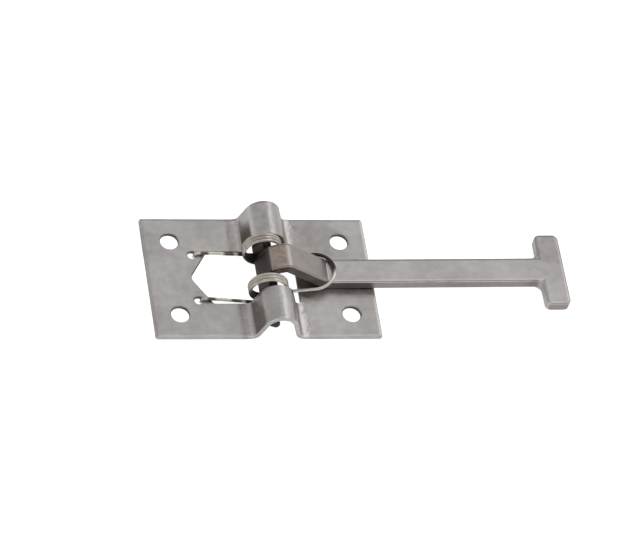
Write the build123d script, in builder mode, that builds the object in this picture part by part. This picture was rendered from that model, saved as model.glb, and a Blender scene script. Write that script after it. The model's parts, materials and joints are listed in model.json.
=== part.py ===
# Door retainer: a wall plate with two rolled knuckles, a T-headed arm that swings in them,
# and a double torsion spring that holds the arm down flat against the plate.
# Origin: centre of the plate's back face. +X runs towards the T head, +Y across the plate,
# +Z away from the wall. Millimetres.
import os
from math import asin, atan2, cos, degrees, hypot, radians, sin, tan

from build123d import *

os.makedirs("parts", exist_ok=True)

# Wall plate
plate_length = 76.2
plate_width = 47.6
sheet = 1.6
plate_corner = 0.8
sheared_edge = 0.25
screw_pitch_x = 57.8
screw_pitch_y = 29.2
screw_hole = 6.2

# Knuckles formed up out of the plate, and the window between them
knuckle_x = 2.65
knuckle_height = 6.2
tunnel_radius = 4.35
wall_angle = 71.0
foot_radius = 1.6
lift_radius = 10.0
lift_angle = 12.0
window_width = 20.6
window_right = 9.55
window_shoulder = 19.65
window_taper = 6.6
window_corner = 1.0
window_point = 2.5

# Arm, one strip blanked with a T at one end and a crossbar at the other, then bent
arm_width = 9.5
arm_thickness = 3.7
arm_reach = 103.2
head_length = 28.4
head_depth = 8.4
head_corner = 2.0
head_fillet = 2.6
shank_rise = 0.8
heel_reach = 20.8
heel_gap = 0.15
bend_radius = 2.6
crest_tilt = 18.0
crest_length = 4.3
bend_height = 5.1
rounded_edge = 0.5

# Crossbar between the knuckles, and the lugs at its ends that turn in them
bar_depth = 6.4
bar_tilt = 66.0
bar_corner = 0.7
bar_clearance = 0.3
lug_depth = 2.6
lug_corner = 1.0
lug_inset = 0.9
lug_clearance = 0.12

# Spring, one length of wire: hook, leg, coil and half of the bail on each side
wire = 1.1
coil_radius = 6.15
coil_turns = 3
coil_pitch = 1.12
coil_clearance = 0.12
hook_hole = 3.0
hook_x = 22.0
hook_y = 9.1
hook_clearance = 0.1
hook_radius = 1.2
hook_end = 0.4
leg_lead = 1.5
leg_bend = 20.0
rest_clearance = 0.15
bail_clearance = 0.1
bail_leg = 15.6
bail_width = 13.8
bail_lead = 2.0
bail_bend = 20.0

# Worked out: the knuckle's mid-line is a round crown on two straight walls. At the foot of each
# wall the sheet bends sharply, then lifts a little before it lies flat
crown_mid = tunnel_radius + sheet / 2
foot_mid = foot_radius + sheet / 2
lift_mid = lift_radius + sheet / 2
wall_sin, wall_cos = sin(radians(wall_angle)), cos(radians(wall_angle))
lift_sin, lift_cos = sin(radians(lift_angle)), cos(radians(lift_angle))
wall_low = sheet / 2 + lift_mid * (1 - lift_cos) + foot_mid * (lift_cos - wall_cos)
wall_length = (knuckle_height + crown_mid * wall_cos - wall_low) / wall_sin
wall_run = crown_mid * wall_sin + wall_length * wall_cos
knuckle_span = wall_run + foot_mid * (wall_sin - lift_sin) + lift_mid * lift_sin
knuckle_top = knuckle_height + tunnel_radius + sheet
window_back = knuckle_x - window_shoulder

# Worked out: the spring holds the lugs up against one wall of the tunnels, and they turn there
lug_swing = hypot(arm_thickness / 2 - lug_corner, lug_depth / 2 - lug_corner) + lug_corner
hinge_shift = tunnel_radius - lug_swing - lug_clearance
hinge_x = knuckle_x - hinge_shift * wall_sin
hinge_z = knuckle_height + hinge_shift * wall_cos
bar_span = window_width - 2 * bar_clearance
lug_span = plate_width - 2 * lug_inset

# Worked out: the middle line of the bent strip, from the hinge to the tip
bend_point = (
    hinge_x + bend_height * cos(radians(bar_tilt)),
    hinge_z + bend_height * sin(radians(bar_tilt)),
)
crest_point = (
    bend_point[0] + crest_length * cos(radians(crest_tilt)),
    bend_point[1] + crest_length * sin(radians(crest_tilt)),
)
heel_point = (hinge_x + heel_reach, sheet + heel_gap + arm_thickness / 2)
tip_x = hinge_x + arm_reach
strip_run = arm_reach - heel_reach + arm_thickness
strip_end = (heel_point[0] + strip_run, heel_point[1] + strip_run * tan(radians(shank_rise)))
arm_top = crest_point[1] + arm_thickness

# Worked out: each leg leaves its coil in a straight line over the land beside the window and
# hooks on the near side of its hole. The bail leaves the other way, over the heel of the arm
coil_outer_y = window_width / 2 - coil_clearance - wire / 2
catch_x = hook_hole / 2 - wire / 2 - hook_clearance - hook_x
land_z = sheet + rest_clearance + wire / 2
land_run = hinge_x - window_back
leg_rise = asin(coil_radius / hypot(land_run, hinge_z - land_z)) - atan2(hinge_z - land_z, land_run)
heel_top = heel_point[1] + arm_thickness / 2
bail_z = heel_top + bail_clearance + wire / 2
bail_run = heel_reach + wire
bail_rise = asin(coil_radius / hypot(bail_run, hinge_z - bail_z)) - atan2(hinge_z - bail_z, bail_run)
coil_sweep = coil_turns + degrees(leg_rise + bail_rise) / 360


# The rims of every upright wall: all of its edges but the ones that stand upright themselves
def wall_rims(shape):
    square = 0.01
    walls = shape.faces().filter_by(lambda face: abs(face.normal_at().Z) < square)
    edges = ShapeList(edge for wall in walls for edge in wall.edges())
    return edges.filter_by(lambda edge: abs(edge.tangent_at().Z) < 1 - square)


# The plate is one sheet: its side profile is drawn as a mid-line of constant thickness
with BuildPart() as mounting_plate:
    with BuildSketch(Plane.XZ):
        with BuildLine():
            left = Line((-plate_length / 2, sheet / 2), (knuckle_x - knuckle_span, sheet / 2))
            lift = JernArc(left @ 1, left % 1, lift_mid, lift_angle)
            rise = JernArc(lift @ 1, lift % 1, foot_mid, wall_angle - lift_angle)
            near_wall = Line(rise @ 1, rise @ 1 + rise % 1 * wall_length)
            crown = JernArc(near_wall @ 1, near_wall % 1, crown_mid, -2 * wall_angle)
            far_wall = Line(crown @ 1, crown @ 1 + crown % 1 * wall_length)
            fall = JernArc(far_wall @ 1, far_wall % 1, foot_mid, wall_angle - lift_angle)
            settle = JernArc(fall @ 1, fall % 1, lift_mid, lift_angle)
            Line(settle @ 1, (plate_length / 2, sheet / 2))
        trace(line_width=sheet)
    extrude(amount=plate_width / 2, both=True)
    corners = mounting_plate.edges().filter_by(Axis.Z)
    fillet(corners, plate_corner)
    # The window parts the one long knuckle into two, and tapers to a blunt point at the far end
    with BuildSketch() as window:
        with BuildLine():
            Polyline(
                (knuckle_x + window_right, -window_width / 2),
                (knuckle_x + window_right, window_width / 2),
                (window_back, window_width / 2),
                (window_back - window_taper, 0),
                (window_back, -window_width / 2),
                close=True,
            )
        make_face()
        fillet(window.vertices().sort_by(Axis.X)[1:], window_corner)
        fillet(window.vertices().sort_by(Axis.X)[0], window_point)
    extrude(amount=knuckle_top + sheet, mode=Mode.SUBTRACT)
    with GridLocations(screw_pitch_x, screw_pitch_y, 2, 2):
        Hole(screw_hole / 2)
    with Locations((-hook_x, hook_y), (-hook_x, -hook_y)):
        Hole(hook_hole / 2)
    chamfer(wall_rims(mounting_plate), sheared_edge)
mounting_plate.part.label = "mounting_plate"
export_step(mounting_plate.part, "parts/mounting_plate.step")


# The arm is cut from a bent strip as wide as its T head
with BuildPart() as t_arm:
    with BuildSketch(Plane.XZ):
        with BuildLine():
            FilletPolyline(
                (hinge_x, hinge_z),
                bend_point,
                crest_point,
                heel_point,
                strip_end,
                radius=bend_radius,
            )
        trace(line_width=arm_thickness)
    extrude(amount=head_length / 2, both=True)
    with BuildSketch() as blank:
        with Locations((tip_x, 0)):
            Rectangle(head_depth, head_length, align=(Align.MAX, Align.CENTER))
        with Locations((tip_x - head_depth / 2, 0)):
            Rectangle(arm_reach, arm_width, align=(Align.MAX, Align.CENTER))
        inner_corners = blank.vertices().filter_by_position(Axis.Y, -arm_width / 2, arm_width / 2)
        fillet(inner_corners.group_by(Axis.X)[-1], head_fillet)
        outer_corners = blank.vertices().group_by(Axis.Y)
        fillet(outer_corners[0] + outer_corners[-1], head_corner)
    extrude(amount=arm_top, mode=Mode.INTERSECT)
    root = t_arm.faces().sort_by_distance((hinge_x, 0, hinge_z))[0]
    fillet(wall_rims(t_arm) - root.edges(), rounded_edge)
    # The crossbar fills the window, and its lugs run through both knuckles to just inside their ends
    with BuildSketch(Plane.XZ):
        with Locations((hinge_x, hinge_z)):
            RectangleRounded(bar_depth, arm_thickness, bar_corner, rotation=bar_tilt)
    extrude(amount=bar_span / 2, both=True)
    with BuildSketch(Plane.XZ):
        with Locations((hinge_x, hinge_z)):
            RectangleRounded(lug_depth, arm_thickness, lug_corner, rotation=bar_tilt)
    extrude(amount=lug_span / 2, both=True)
    lug_ends = t_arm.faces().filter_by(Axis.Y).group_by(Axis.Y)
    fillet(lug_ends[0].edges() + lug_ends[-1].edges(), rounded_edge)
t_arm.part.label = "t_arm"
export_step(t_arm.part, "parts/t_arm.step")


# The spring's front half is swept from its hook to the middle of the bail, then mirrored
hinge_line = Axis((hinge_x, -coil_outer_y, hinge_z), (0, 1, 0))
coil = Helix(
    coil_pitch,
    coil_pitch * coil_sweep,
    coil_radius,
    center=hinge_line.position,
    direction=hinge_line.direction,
    lefthand=True,
)
leg_side = Vector(-sin(leg_rise), 0, -cos(leg_rise))
start_turn = (coil @ 0 - hinge_line.position).get_signed_angle(leg_side, hinge_line.direction)
coil = coil.rotate(hinge_line, start_turn)

with BuildPart() as torsion_spring:
    with BuildLine() as wire_line:
        add(coil)
        leg_knee = coil @ 0 - coil % 0 * leg_lead
        hook_top = Vector(catch_x, -hook_y, leg_knee.Z + (leg_knee.X - catch_x) * tan(leg_rise))
        hook_tip = Vector(catch_x, -hook_y, hook_end)
        leg = FilletPolyline(coil @ 0, leg_knee, hook_top, hook_tip, radius=[leg_bend, hook_radius])
        bail_knee = coil @ 1 + coil % 1 * bail_lead
        reach = coil @ 1 + Vector(cos(bail_rise), 0, sin(bail_rise)) * bail_leg
        near_side = Vector(reach.X, -bail_width / 2, reach.Z)
        far_side = Vector(reach.X, bail_width / 2, reach.Z)
        run = FilletPolyline(coil @ 1, bail_knee, near_side, radius=bail_bend)
        bail = TangentArc(run @ 1, far_side, tangent=run % 1, mode=Mode.PRIVATE)
        add(bail.trim(0, 0.5))
    with BuildSketch(Plane(hook_tip, z_dir=(0, 0, 1))):
        Circle(wire / 2)
    sweep(path=wire_line.line)
    mirror(about=Plane.XZ)
torsion_spring.part.label = "torsion_spring"
export_step(torsion_spring.part, "parts/torsion_spring.step")
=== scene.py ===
import json
from math import cos, pi, radians, sin, tan

import bmesh
import bpy
from mathutils import Matrix, Vector


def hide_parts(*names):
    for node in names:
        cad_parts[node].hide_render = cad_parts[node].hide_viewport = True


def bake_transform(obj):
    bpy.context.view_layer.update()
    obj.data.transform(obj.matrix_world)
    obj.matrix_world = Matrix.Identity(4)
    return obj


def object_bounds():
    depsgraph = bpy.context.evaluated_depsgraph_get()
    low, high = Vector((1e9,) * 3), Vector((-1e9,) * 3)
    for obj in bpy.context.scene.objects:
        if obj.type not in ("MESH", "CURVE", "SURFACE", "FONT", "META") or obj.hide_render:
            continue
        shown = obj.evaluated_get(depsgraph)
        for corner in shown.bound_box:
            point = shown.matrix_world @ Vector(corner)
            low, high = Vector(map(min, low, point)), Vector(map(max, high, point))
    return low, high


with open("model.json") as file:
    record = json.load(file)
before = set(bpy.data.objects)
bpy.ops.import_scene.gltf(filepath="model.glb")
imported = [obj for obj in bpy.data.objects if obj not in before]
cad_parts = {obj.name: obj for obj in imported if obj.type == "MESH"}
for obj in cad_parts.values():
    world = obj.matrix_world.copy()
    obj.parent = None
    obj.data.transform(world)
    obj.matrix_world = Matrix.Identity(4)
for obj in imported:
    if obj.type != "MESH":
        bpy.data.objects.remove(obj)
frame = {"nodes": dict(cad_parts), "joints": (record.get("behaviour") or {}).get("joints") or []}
cad_low, cad_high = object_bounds()

MM = 0.001
hinge = Vector(frame["joints"][0]["pos_m"])


# Camera: the photograph's viewing angle, for a picture of 630 by 540 pixels
picture_width = 630
focal_pixels = 4252.5
view_azimuth = radians(-24.126)
view_elevation = radians(52.062)
view_roll = radians(19.551)
view_distance = 1.4
plate_middle = Vector((0, 0, 1.6 * MM))
plate_offset_right = 17.92 * MM
plate_offset_up = 2.44 * MM
sensor_width = 36
nearest_seen = 0.05
farthest_seen = 50


def add_camera():
    back = Vector((
        sin(view_azimuth) * cos(view_elevation),
        -cos(view_azimuth) * cos(view_elevation),
        sin(view_elevation),
    ))
    level = Vector((cos(view_azimuth), sin(view_azimuth), 0))
    upright = back.cross(level)
    right = level * cos(view_roll) + upright * sin(view_roll)
    up = upright * cos(view_roll) - level * sin(view_roll)
    aim = plate_middle + right * plate_offset_right + up * plate_offset_up
    data = bpy.data.cameras.new("camera")
    data.sensor_width = sensor_width
    data.lens = focal_pixels * sensor_width / picture_width
    data.clip_start = nearest_seen
    data.clip_end = farthest_seen
    camera = bpy.data.objects.new("camera", data)
    bpy.context.scene.collection.objects.link(camera)
    turn = Matrix((right, up, back)).transposed().to_4x4()
    camera.matrix_world = Matrix.Translation(aim + back * view_distance) @ turn
    bpy.context.scene.camera = camera


# Node helpers
class Graph:
    """A node tree, with short ways to add the nodes that the finishes and the studio share."""

    def __init__(self, tree):
        self.nodes = tree.nodes
        self.links = tree.links

    def feed(self, socket, value):
        if isinstance(value, bpy.types.NodeSocket):
            self.links.new(value, socket)
        else:
            socket.default_value = value

    def split(self, vector):
        node = self.nodes.new("ShaderNodeSeparateXYZ")
        self.feed(node.inputs["Vector"], vector)
        return node.outputs["X"], node.outputs["Y"], node.outputs["Z"]

    def calc(self, operation, first, second=0.0):
        node = self.nodes.new("ShaderNodeMath")
        node.operation = operation
        self.feed(node.inputs[0], first)
        self.feed(node.inputs[1], second)
        return node.outputs["Value"]

    def both(self, *masks):
        """Multiplies masks, so that the result is 1 only where all of them are."""
        share = masks[0]
        for mask in masks[1:]:
            share = self.calc("MULTIPLY", share, mask)
        return share

    def remap(self, value, low, high, to_low=0.0, to_high=1.0, kind="SMOOTHSTEP"):
        node = self.nodes.new("ShaderNodeMapRange")
        node.interpolation_type = kind
        self.feed(node.inputs["Value"], value)
        self.feed(node.inputs["From Min"], low)
        self.feed(node.inputs["From Max"], high)
        self.feed(node.inputs["To Min"], to_low)
        self.feed(node.inputs["To Max"], to_high)
        return node.outputs["Result"]

    def fall(self, value, low, high):
        """A mask that is 1 below the low value and 0 above the high one."""
        return self.remap(value, low, high, 1.0, 0.0)

    def band(self, value, middle, inner, outer):
        """Masks a band about a middle value, which fades from the inner to the outer distance."""
        distance = self.calc("ABSOLUTE", self.calc("SUBTRACT", value, middle))
        return self.fall(distance, inner, outer)

    def stretch(self, vector, scale, shift=(0.0, 0.0, 0.0)):
        node = self.nodes.new("ShaderNodeMapping")
        self.feed(node.inputs["Vector"], vector)
        self.feed(node.inputs["Scale"], scale)
        self.feed(node.inputs["Location"], shift)
        return node.outputs["Vector"]

    def length(self, vector):
        node = self.nodes.new("ShaderNodeVectorMath")
        node.operation = "LENGTH"
        self.feed(node.inputs[0], vector)
        return node.outputs["Value"]

    def noise(self, vector, scale, detail=3.0, roughness=0.5):
        node = self.nodes.new("ShaderNodeTexNoise")
        self.feed(node.inputs["Vector"], vector)
        self.feed(node.inputs["Scale"], scale)
        self.feed(node.inputs["Detail"], detail)
        self.feed(node.inputs["Roughness"], roughness)
        return node.outputs["Fac"]

    def mix(self, share, first, second, blend="MIX"):
        node = self.nodes.new("ShaderNodeMix")
        node.data_type = "RGBA"
        node.blend_type = blend
        self.feed(node.inputs["Factor"], share)
        self.feed(node.inputs[6], first)
        self.feed(node.inputs[7], second)
        return node.outputs[2]


# Finishes: the sizes of the part that the masks follow
plate_length = 76.2 * MM
plate_width = 47.6 * MM
knuckle_x = 2.65 * MM
tip_x = cad_high.x
head_depth = 8.4 * MM
head_length = 28.4 * MM
arm_width = 9.5 * MM

# The walls of the holes and the window lie nearer to the plate's middle than this, its outline doesn't
cut_limit_x = 37 * MM
cut_limit_y = 23 * MM
cut_fade = 0.5 * MM

# Relief left by the press and the rolls
rim_width = 1.1 * MM
sheet_rim_depth = 0.12 * MM
strip_rim_depth = 0.2 * MM
dent_depth = 0.26 * MM
grain_depth = 0.04 * MM

# Noise scales, in features per metre. Rolling draws the grain out along the piece
cloud_scale = 70
wear_scale = 260
ragged_scale = 320
dent_scale = 400
mottle_scale = 420
spot_scale = 700
pit_scale = 1900
rolled_grain = (150, 4000, 4000)
drawn_grain = (500, 500, 500)

# How far the noise moves the colour, as a share of it, and the roughness
mottle_spread = 0.07
grain_spread = 0.04
pit_spread = 0.03
roughness_spread = 0.05

# Colours of the bare metals, in their dark and light clouds, and of edges that are rubbed bright
sheet_dark = (0.54, 0.514, 0.503)
sheet_light = (0.625, 0.596, 0.585)
sheet_edge = (0.76, 0.735, 0.72)
strip_dark = (0.545, 0.519, 0.51)
strip_light = (0.63, 0.601, 0.592)
strip_edge = (0.78, 0.755, 0.745)
wire_dark = (0.8, 0.765, 0.69)
wire_light = (1.0, 0.96, 0.875)

# Roughness, and how strongly the grain stands out
steel_roughness = 0.34
wire_roughness = 0.38
edge_roughness = 0.3
steel_relief = 0.4
wire_relief = 0.06

# Stains, painted shade and painted highlights: each multiplies the colour of the metal under it
# painted shade: a grey band along the left foot of each knuckle
left_foot_painted_shade = (0.78, 0.76, 0.745)
# painted highlight: a brighter band on the left foot of each knuckle
left_foot_painted_highlight = (1.25, 1.25, 1.25)
# painted highlight on the right foot of each knuckle
right_foot_painted_highlight = (1.12, 1.12, 1.13)
# painted shade on the plate's back right, by the back hole
back_hole_painted_shade = (0.86, 0.85, 0.84)
# painted shade on the back knuckle's right shoulder
back_shoulder_painted_shade = (0.88, 0.88, 0.88)
# painted shade on the front of the plate's right end
right_end_painted_shade = (0.9, 0.89, 0.885)
# painted shade on the knuckles' left walls
left_wall_painted_shade = (0.66, 0.63, 0.61)
# deeper painted shade on the back knuckle's left wall
back_wall_painted_shade = (0.52, 0.5, 0.48)
# painted shade on the knuckles' right walls
right_wall_painted_shade = (0.6, 0.57, 0.56)
# painted shadow on the plate under the arm's ramp
under_ramp_painted_shadow = (0.76, 0.735, 0.71)
# painted shade on the walls of the holes and the window
cut_wall_painted_shade = (0.2, 0.185, 0.175)
# painted shade on the arm's underside
underside_painted_shade = (0.4, 0.37, 0.34)
# painted shade on the arm's faces that tilt to the right, up to the ramp's end
ramp_painted_shade = (0.8, 0.765, 0.74)
# painted shade on the arm's upright sides
side_painted_shade = (0.64, 0.59, 0.58)
# painted highlight on the shank near the head
far_shank_painted_highlight = (1.07, 1.07, 1.08)
# painted shade on the back half of the T head
head_back_painted_shade = (0.86, 0.84, 0.82)
heat_tan = (0.88, 0.78, 0.68)
heat_spots = (0.8, 0.77, 0.74)
# darkens the crossbar and its lugs nearly to black
crossbar_black = (0.18, 0.162, 0.15)
# painted shade on the back coil
back_coil_painted_shade = (0.84, 0.83, 0.83)
coil_spots = (0.82, 0.79, 0.77)
# painted shade low in the coils
low_coil_painted_shade = (0.12, 0.105, 0.09)
# painted shade at both ends of the legs
leg_end_painted_shade = (0.2, 0.18, 0.165)
# painted shade on the bail's far side
far_bail_painted_shade = (0.09, 0.08, 0.07)


class Steel:
    """Dull steel: cloudy grey with a fine grain. Masks may then add stains, painted shade, painted
    highlights and wear.
    """

    def __init__(self, name, dark, light, grain_scale, roughness):
        self.material = bpy.data.materials.new(name)
        self.material.use_nodes = True
        self.graph = Graph(self.material.node_tree)
        self.shader = self.graph.nodes["Principled BSDF"]
        texture = self.graph.nodes.new("ShaderNodeTexCoord")
        self.place = texture.outputs["Object"]
        self.normal = texture.outputs["Normal"]
        graph = self.graph
        cloud = graph.noise(self.place, cloud_scale, 4)
        mottle = graph.noise(self.place, mottle_scale, 3)
        self.grain = graph.noise(graph.stretch(self.place, grain_scale), 1, 3, 0.6)
        self.pits = graph.noise(self.place, pit_scale, 2)
        self.colour = graph.mix(graph.remap(cloud, 0.34, 0.66), (*dark, 1), (*light, 1))
        layers = ((mottle, mottle_spread), (self.grain, grain_spread), (self.pits, pit_spread))
        for layer, spread in layers:
            shade = graph.remap(layer, 0.3, 0.7, 1 - spread, 1 + spread, "LINEAR")
            self.colour = graph.mix(1.0, self.colour, shade, "MULTIPLY")
        self.rims = None
        self.roughness = graph.remap(
            graph.calc("ADD", self.grain, mottle),
            0.7,
            1.3,
            roughness - roughness_spread,
            roughness + roughness_spread,
        )

    def stain_and_shade(self, mask, colour):
        """Multiplies the steel's colour where the mask is 1, for a real stain, painted shade or a
        painted highlight.
        """
        self.colour = self.graph.mix(mask, self.colour, (*colour, 1), "MULTIPLY")

    def patch(self, centre, half_size):
        """Masks a soft patch with a ragged rim, an ellipsoid given in millimetres."""
        graph = self.graph
        scale = [1 / (half * MM) for half in half_size]
        shift = [-middle / half for middle, half in zip(centre, half_size)]
        reach = graph.length(graph.stretch(self.place, scale, shift))
        ragged = graph.remap(graph.noise(self.place, ragged_scale, 4), 0.3, 0.7, -0.25, 0.25, "LINEAR")
        return graph.fall(graph.calc("ADD", reach, ragged), 0.65, 1.2)

    def spots(self, scale, low, high):
        """Masks small spots, where a noise rises from the low value to the high one."""
        return self.graph.remap(self.graph.noise(self.place, scale, 3), low, high)

    def cut_walls(self, limit_x, limit_y):
        """Masks the upright cut faces that lie inside the given distances from the middle."""
        graph = self.graph
        along, across = graph.split(self.place)[:2]
        upright = graph.calc("ABSOLUTE", graph.split(self.normal)[2])
        return graph.both(
            graph.fall(upright, 0.1, 0.25),
            graph.band(along, 0.0, limit_x - cut_fade, limit_x),
            graph.band(across, 0.0, limit_y - cut_fade, limit_y),
        )

    def wear_edges(self, colour, roughness):
        """Rubs the rounded edges that run along the piece, in broken patches."""
        graph = self.graph
        across, upright = [graph.calc("ABSOLUTE", part) for part in graph.split(self.normal)[1:]]
        edge = graph.remap(graph.both(across, upright), 0.15, 0.42)
        broken = graph.remap(graph.noise(self.place, wear_scale, 4), 0.36, 0.58, 0.35, 1.0)
        mask = graph.both(edge, broken)
        self.colour = graph.mix(mask, self.colour, (*colour, 1))
        worn = graph.both(mask, self.roughness)
        share = graph.both(mask, roughness)
        self.roughness = graph.calc("ADD", graph.calc("SUBTRACT", self.roughness, worn), share)

    def inset(self, part, limit):
        """How far a point lies inside a limit, on either side of the middle."""
        return self.graph.calc("SUBTRACT", limit, self.graph.calc("ABSOLUTE", part))

    def bump(self, height, strength, depth):
        node = self.graph.nodes.new("ShaderNodeBump")
        self.graph.feed(node.inputs["Height"], height)
        self.graph.feed(node.inputs["Strength"], strength)
        self.graph.feed(node.inputs["Distance"], depth)
        return node

    def roll_rims(self, inset, depth):
        """Lets the face fall away towards its outline, as the press leaves a stamped edge."""
        height = self.graph.remap(inset, 0.0, rim_width)
        self.rims = self.bump(height, 1.0, depth).outputs["Normal"]

    def dent(self, mask):
        """Leaves the face a little uneven where the mask is 1, as the forming dies do."""
        graph = self.graph
        height = graph.calc("SUBTRACT", graph.noise(self.place, dent_scale, 2), 0.5)
        uneven = self.bump(graph.both(height, mask), 1.0, dent_depth)
        graph.feed(uneven.inputs["Normal"], self.rims)
        self.rims = uneven.outputs["Normal"]

    def finish(self, relief):
        graph = self.graph
        graph.feed(self.shader.inputs["Base Color"], self.colour)
        graph.feed(self.shader.inputs["Roughness"], self.roughness)
        graph.feed(self.shader.inputs["Metallic"], 1.0)
        grain = self.bump(graph.mix(0.4, self.grain, self.pits), relief, grain_depth)
        if self.rims:
            graph.feed(grain.inputs["Normal"], self.rims)
        graph.feed(self.shader.inputs["Normal"], grain.outputs["Normal"])
        return self.material


def rolled_sheet():
    """The plate's sheet: uneven knuckles, painted shade on the cut walls, the knuckle walls, under the
    arm's ramp and in patches, and painted highlights on the feet.
    """
    steel = Steel("rolled_sheet", sheet_dark, sheet_light, rolled_grain, steel_roughness)
    graph = steel.graph
    along, across = graph.split(steel.place)[:2]
    tilt_x = graph.split(steel.normal)[0]
    from_end = steel.inset(along, plate_length / 2)
    from_side = steel.inset(across, plate_width / 2)
    left_wall = graph.both(
        graph.fall(tilt_x, -0.944, -0.88),
        graph.remap(across, 14 * MM, 20 * MM, 1.0, 0.2),
    )
    back_wall = graph.both(left_wall, graph.remap(across, 8 * MM, 10 * MM))
    right_wall = graph.remap(tilt_x, 0.9, 0.944)
    left_foot_shade_band = graph.band(along, -8.5 * MM, 0.0, 1.5 * MM)
    left_foot = graph.band(along, -6.0 * MM, 0.1 * MM, 1.0 * MM)
    right_foot = graph.band(along, 12.0 * MM, 0.8 * MM, 1.8 * MM)
    by_back_hole = steel.patch((20, 15, 1.6), (11, 8, 4))
    back_shoulder = steel.patch((5, 17, 11), (4, 8, 5))
    right_end = steel.patch((35, -14.5, 1.6), (5, 9, 4))
    under_ramp = steel.patch((14.5, -2.5, 1.6), (7, 6.5, 4))
    steel.roll_rims(graph.calc("MINIMUM", from_end, from_side), sheet_rim_depth)
    steel.dent(graph.band(along, knuckle_x, 10 * MM, 14 * MM))
    steel.wear_edges(sheet_edge, edge_roughness)
    # painted shade in a band along the left foot of each knuckle
    steel.stain_and_shade(left_foot_shade_band, left_foot_painted_shade)
    # painted highlight on the left foot of each knuckle
    steel.stain_and_shade(left_foot, left_foot_painted_highlight)
    # painted highlight on the right foot of each knuckle
    steel.stain_and_shade(right_foot, right_foot_painted_highlight)
    # painted shade on the plate's back right, by the back hole
    steel.stain_and_shade(by_back_hole, back_hole_painted_shade)
    # painted shade on the back knuckle's right shoulder
    steel.stain_and_shade(back_shoulder, back_shoulder_painted_shade)
    # painted shade on the front of the plate's right end
    steel.stain_and_shade(right_end, right_end_painted_shade)
    # painted shade on the knuckles' left walls
    steel.stain_and_shade(left_wall, left_wall_painted_shade)
    # deeper painted shade on the back knuckle's left wall
    steel.stain_and_shade(back_wall, back_wall_painted_shade)
    # painted shade on the knuckles' right walls
    steel.stain_and_shade(right_wall, right_wall_painted_shade)
    # painted shadow on the plate under the arm's ramp
    steel.stain_and_shade(under_ramp, under_ramp_painted_shadow)
    # painted shade on the walls of the holes and the window
    steel.stain_and_shade(steel.cut_walls(cut_limit_x, cut_limit_y), cut_wall_painted_shade)
    return steel.finish(steel_relief)


def rolled_strip():
    """The arm's strip: dark at the crossbar and its lugs, tinted by heat along the crest, with painted
    shade on the underside, sides, ramp and back of the head, and a painted highlight on the shank.
    """
    steel = Steel("rolled_strip", strip_dark, strip_light, rolled_grain, steel_roughness)
    graph = steel.graph
    along, across = graph.split(steel.place)[:2]
    tilt_x, tilt_y, tilt_z = graph.split(steel.normal)
    from_tip = graph.calc("SUBTRACT", tip_x, along)
    in_shank = steel.inset(across, arm_width / 2)
    in_head = graph.calc("MINIMUM", from_tip, graph.calc("SUBTRACT", head_depth, from_tip))
    in_head = graph.calc("MINIMUM", in_head, steel.inset(across, head_length / 2))
    inside = graph.calc("MINIMUM", graph.calc("MAXIMUM", in_head, in_shank), from_tip)
    on_arm = graph.remap(in_shank, -1.0 * MM, -0.4 * MM)
    crest = graph.both(
        graph.remap(along, 1.0 * MM, 1.8 * MM),
        graph.fall(along, 5.6 * MM, 7.0 * MM),
        on_arm,
    )
    crossbar = graph.fall(along, 0.8 * MM, 1.5 * MM)
    lugs = graph.both(graph.fall(along, 5 * MM, 8 * MM), graph.calc("SUBTRACT", 1.0, on_arm))
    ramp = graph.both(graph.remap(tilt_x, -0.1, 0.1), graph.fall(along, 19 * MM, 22 * MM))
    sides = graph.remap(graph.calc("ABSOLUTE", tilt_y), 0.75, 0.95)
    underside = graph.fall(tilt_z, -0.5, -0.1)
    far_shank = steel.patch((80, 0, 5.5), (16, 9, 8))
    head_back = steel.patch((99.4, 10, 5.5), (8, 8, 8))
    steel.roll_rims(inside, strip_rim_depth)
    steel.wear_edges(strip_edge, edge_roughness)
    # painted shade on the arm's underside
    steel.stain_and_shade(underside, underside_painted_shade)
    # painted shade on the arm's faces that tilt to the right, up to the ramp's end
    steel.stain_and_shade(ramp, ramp_painted_shade)
    # painted shade on the arm's upright sides
    steel.stain_and_shade(sides, side_painted_shade)
    # painted highlight on the shank near the head
    steel.stain_and_shade(far_shank, far_shank_painted_highlight)
    # painted shade on the back half of the T head
    steel.stain_and_shade(head_back, head_back_painted_shade)
    steel.stain_and_shade(crest, heat_tan)
    steel.stain_and_shade(graph.both(crest, steel.spots(spot_scale, 0.42, 0.62)), heat_spots)
    # darkens the crossbar and its lugs nearly to black
    steel.stain_and_shade(graph.calc("MAXIMUM", crossbar, lugs), crossbar_black)
    return steel.finish(steel_relief)


def drawn_wire():
    """Tan wire with spots on the coils, and painted shade on the back coil, low in the coils, at both
    ends of the legs and on the bail's far side.
    """
    steel = Steel("drawn_wire", wire_dark, wire_light, drawn_grain, wire_roughness)
    graph = steel.graph
    along, across, height = graph.split(steel.place)
    coil = graph.band(along, hinge.x, 6.4 * MM, 7.4 * MM)
    low = graph.fall(height, hinge.z - 2.5 * MM, hinge.z + 1.5 * MM)
    back = graph.remap(across, 0.0, 5 * MM)
    by_coil = graph.band(along, -9.5 * MM, 1.0 * MM, 2.5 * MM)
    by_hook = graph.band(along, -18 * MM, 0.8 * MM, 2.0 * MM)
    far_bail = graph.both(graph.remap(along, 9 * MM, 11 * MM), graph.remap(across, -3 * MM, 0.5 * MM))
    # painted shade on the back coil
    steel.stain_and_shade(graph.both(coil, back), back_coil_painted_shade)
    steel.stain_and_shade(graph.both(coil, steel.spots(mottle_scale, 0.45, 0.6)), coil_spots)
    # painted shade low in the coils
    steel.stain_and_shade(graph.both(coil, low), low_coil_painted_shade)
    # painted shade at both ends of the legs
    steel.stain_and_shade(graph.calc("MAXIMUM", by_coil, by_hook), leg_end_painted_shade)
    # painted shade on the bail's far side
    steel.stain_and_shade(far_bail, far_bail_painted_shade)
    return steel.finish(wire_relief)


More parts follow.
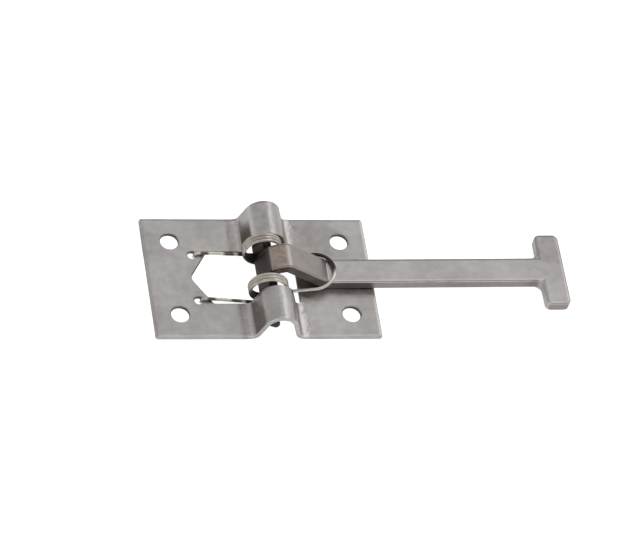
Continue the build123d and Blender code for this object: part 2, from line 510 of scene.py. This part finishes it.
# Spring: each half is one wire, from the hook through the leg and the coil to the middle of the bail
wire_radius = 0.55 * MM
coil_radius = 6.15 * MM
coil_pitch = 1.12 * MM
coil_turns = 3
coil_outer_y = 9.63 * MM
leg_rise = radians(4.9625)
bail_rise = radians(14.0525)
bail_leg = 15.6 * MM
bail_width = 13.8 * MM
bail_lead = 2.0 * MM
catch_x = -21.15 * MM
hook_y = 9.1 * MM
hook_end = 0.4 * MM
hook_radius = 1.2 * MM
wire_sides = 20
steps_per_turn = 72
fewest_steps = 6
merge_distance = 0.001 * MM


def turn_wire(bm, ring, centre, axis, angle, advance=0.0):
    """Bends the wire's open end round an axis, and returns the new end."""
    steps = max(fewest_steps, round(abs(angle) / (2 * pi) * steps_per_turn))
    turned = bmesh.ops.spin(
        bm,
        geom=ring,
        cent=centre,
        axis=axis,
        angle=angle,
        steps=steps,
        dvec=axis * (advance / steps),
    )
    return [piece for piece in turned["geom_last"] if isinstance(piece, bmesh.types.BMEdge)]


def run_wire(bm, ring, way):
    """Draws the wire's open end straight on, and returns the new end."""
    pulled = bmesh.ops.extrude_edge_only(bm, edges=ring)["geom"]
    points = [piece for piece in pulled if isinstance(piece, bmesh.types.BMVert)]
    bmesh.ops.translate(bm, verts=points, vec=way)
    edges = [piece for piece in pulled if isinstance(piece, bmesh.types.BMEdge)]
    return [edge for edge in edges if all(vert in points for vert in edge.verts)]


def half_spring(name, side):
    """One half of the spring. It is drawn on the side of -Y, and side = 1 mirrors it."""
    bm = bmesh.new()
    hook_tip = Vector((catch_x, -hook_y, hook_end))
    coil_start = hinge + Vector((-sin(leg_rise), 0, -cos(leg_rise))) * coil_radius
    coil_start.y = -coil_outer_y
    hook_top = Vector((catch_x, -hook_y, coil_start.z + (coil_start.x - catch_x) * tan(leg_rise)))
    leg = coil_start - hook_top
    up = Vector((0, 0, 1))
    hook_turn = up.angle(leg)
    set_back = hook_radius * tan(hook_turn / 2)
    hook_axis = up.cross(leg).normalized()
    tip = bmesh.ops.create_circle(bm, cap_ends=True, segments=wire_sides, radius=wire_radius)
    bmesh.ops.translate(bm, verts=tip["verts"], vec=hook_tip)
    ring = list(bm.edges)
    ring = run_wire(bm, ring, up * (hook_top.z - hook_end - set_back))
    hook_centre = hook_top - up * set_back + hook_axis.cross(up) * hook_radius
    ring = turn_wire(bm, ring, hook_centre, hook_axis, hook_turn)
    ring = run_wire(bm, ring, leg.normalized() * (leg.length - set_back))
    sweep = 2 * pi * coil_turns + leg_rise + bail_rise
    advance = coil_pitch * sweep / (2 * pi)
    coil_centre = Vector((hinge.x, -coil_outer_y, hinge.z))
    ring = turn_wire(bm, ring, coil_centre, Vector((0, -1, 0)), sweep, -advance)
    lean = coil_pitch / (2 * pi * coil_radius)
    rise = Vector((cos(bail_rise), 0, sin(bail_rise)))
    lead = (rise + Vector((0, lean, 0))).normalized() * bail_lead
    coil_end = hinge + Vector((sin(bail_rise), 0, -cos(bail_rise))) * coil_radius
    coil_end.y = advance - coil_outer_y
    bail_start = coil_end + rise * bail_leg
    bail_start.y = -bail_width / 2
    bail_way = bail_start - coil_end - lead
    ring = run_wire(bm, ring, lead)
    ring = run_wire(bm, ring, bail_way)
    bail_axis = Vector((-sin(bail_rise), 0, cos(bail_rise)))
    inward = bail_axis.cross(bail_way).normalized()
    bail_radius = -bail_start.y / inward.y
    bail_centre = bail_start + inward * bail_radius
    turn_wire(bm, ring, bail_centre, bail_axis, pi - inward.angle(rise))
    if side > 0:
        bmesh.ops.scale(bm, verts=bm.verts, vec=(1, -1, 1))
    bmesh.ops.remove_doubles(bm, verts=bm.verts, dist=merge_distance)
    bmesh.ops.recalc_face_normals(bm, faces=bm.faces)
    mesh = bpy.data.meshes.new(name)
    bm.to_mesh(mesh)
    bm.free()
    mesh.shade_smooth()
    piece = bpy.data.objects.new(name, mesh)
    bpy.context.scene.collection.objects.link(piece)
    return piece


# Floor: how it looks to the camera, what it adds to the light, and its paint
floor_half_size = 6
floor_gap = 0.05 * MM
floor_white = 0.95
floor_glow = 0.34
floor_grey = 0.85


def add_floor():
    """A white sweep: the camera sees it nearly shadowless, and the steel mirrors it as pale grey."""
    bm = bmesh.new()
    bmesh.ops.create_grid(bm, x_segments=1, y_segments=1, size=floor_half_size)
    bmesh.ops.translate(bm, verts=bm.verts, vec=(0, 0, -floor_gap))
    mesh = bpy.data.meshes.new("floor")
    bm.to_mesh(mesh)
    bm.free()
    floor = bpy.data.objects.new("floor", mesh)
    bpy.context.scene.collection.objects.link(floor)
    material = bpy.data.materials.new("pale_floor")
    material.use_nodes = True
    graph = Graph(material.node_tree)
    shader = graph.nodes["Principled BSDF"]
    graph.feed(shader.inputs["Base Color"], (floor_grey, floor_grey, floor_grey, 1))
    graph.feed(shader.inputs["Roughness"], 1.0)
    graph.feed(shader.inputs["Specular IOR Level"], 0.0)
    seen = graph.nodes.new("ShaderNodeLightPath").outputs["Is Camera Ray"]
    graph.feed(shader.inputs["Emission Color"], (1, 1, 1, 1))
    graph.feed(shader.inputs["Emission Strength"], graph.remap(seen, 0, 1, floor_glow, floor_white))
    mesh.materials.append(material)


# Studio: the strength of the light from each direction
left_light = 0.49
right_light = 0.565
front_share = 0.27
low_back_share = 0.45
side_panel = 0.9
far_side_share = 0.15
overhead_strip = 0.35
front_panel = 0.7


def add_studio():
    """Soft light from behind, a panel at the right, a strip overhead and a low panel in front."""
    world = bpy.data.worlds.new("studio")
    world.use_nodes = True
    graph = Graph(world.node_tree)
    way = graph.nodes.new("ShaderNodeTexCoord").outputs["Generated"]
    right, back, up = graph.split(way)
    behind = graph.both(
        graph.remap(right, -0.1, 0.3, left_light, right_light),
        graph.remap(back, -0.45, 0.1, front_share, 1.0),
        graph.remap(back, 0.64, 0.86, 1.0, low_back_share),
    )
    beside = graph.both(
        graph.remap(right, 0.32, 0.45, 0.0, side_panel),
        graph.remap(right, 0.5, 0.7, 1.0, far_side_share),
        graph.remap(up, 0.14, 0.4),
        graph.remap(back, -0.3, 0.3),
    )
    above = graph.both(
        graph.band(back, 0.05, 0.1, 0.35),
        graph.remap(up, 0.7, 0.9, 0.0, overhead_strip),
    )
    in_front = graph.both(
        graph.remap(back, -0.75, -0.5, front_panel, 0.0),
        graph.fall(up, 0.35, 0.65),
    )
    light = graph.calc("ADD", graph.calc("ADD", behind, beside), graph.calc("ADD", above, in_front))
    sky = graph.nodes["Background"]
    graph.feed(sky.inputs["Color"], (1, 1, 1, 1))
    graph.feed(sky.inputs["Strength"], light)
    bpy.context.scene.world = world
    bpy.context.scene.view_settings.view_transform = "Standard"


add_camera()
add_floor()
add_studio()

for node, material in (("mounting_plate", rolled_sheet()), ("t_arm", rolled_strip())):
    mesh = frame["nodes"][node].data
    mesh.materials.clear()
    mesh.materials.append(material)

# Each half runs from its leg, which lies on the plate, to its bail, which lies on the arm
wire_finish = drawn_wire()
for name, side in (("spring_front", -1), ("spring_back", 1)):
    half = half_spring(name, side)
    half.data.materials.append(wire_finish)
    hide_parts("torsion_spring")
    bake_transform(half)
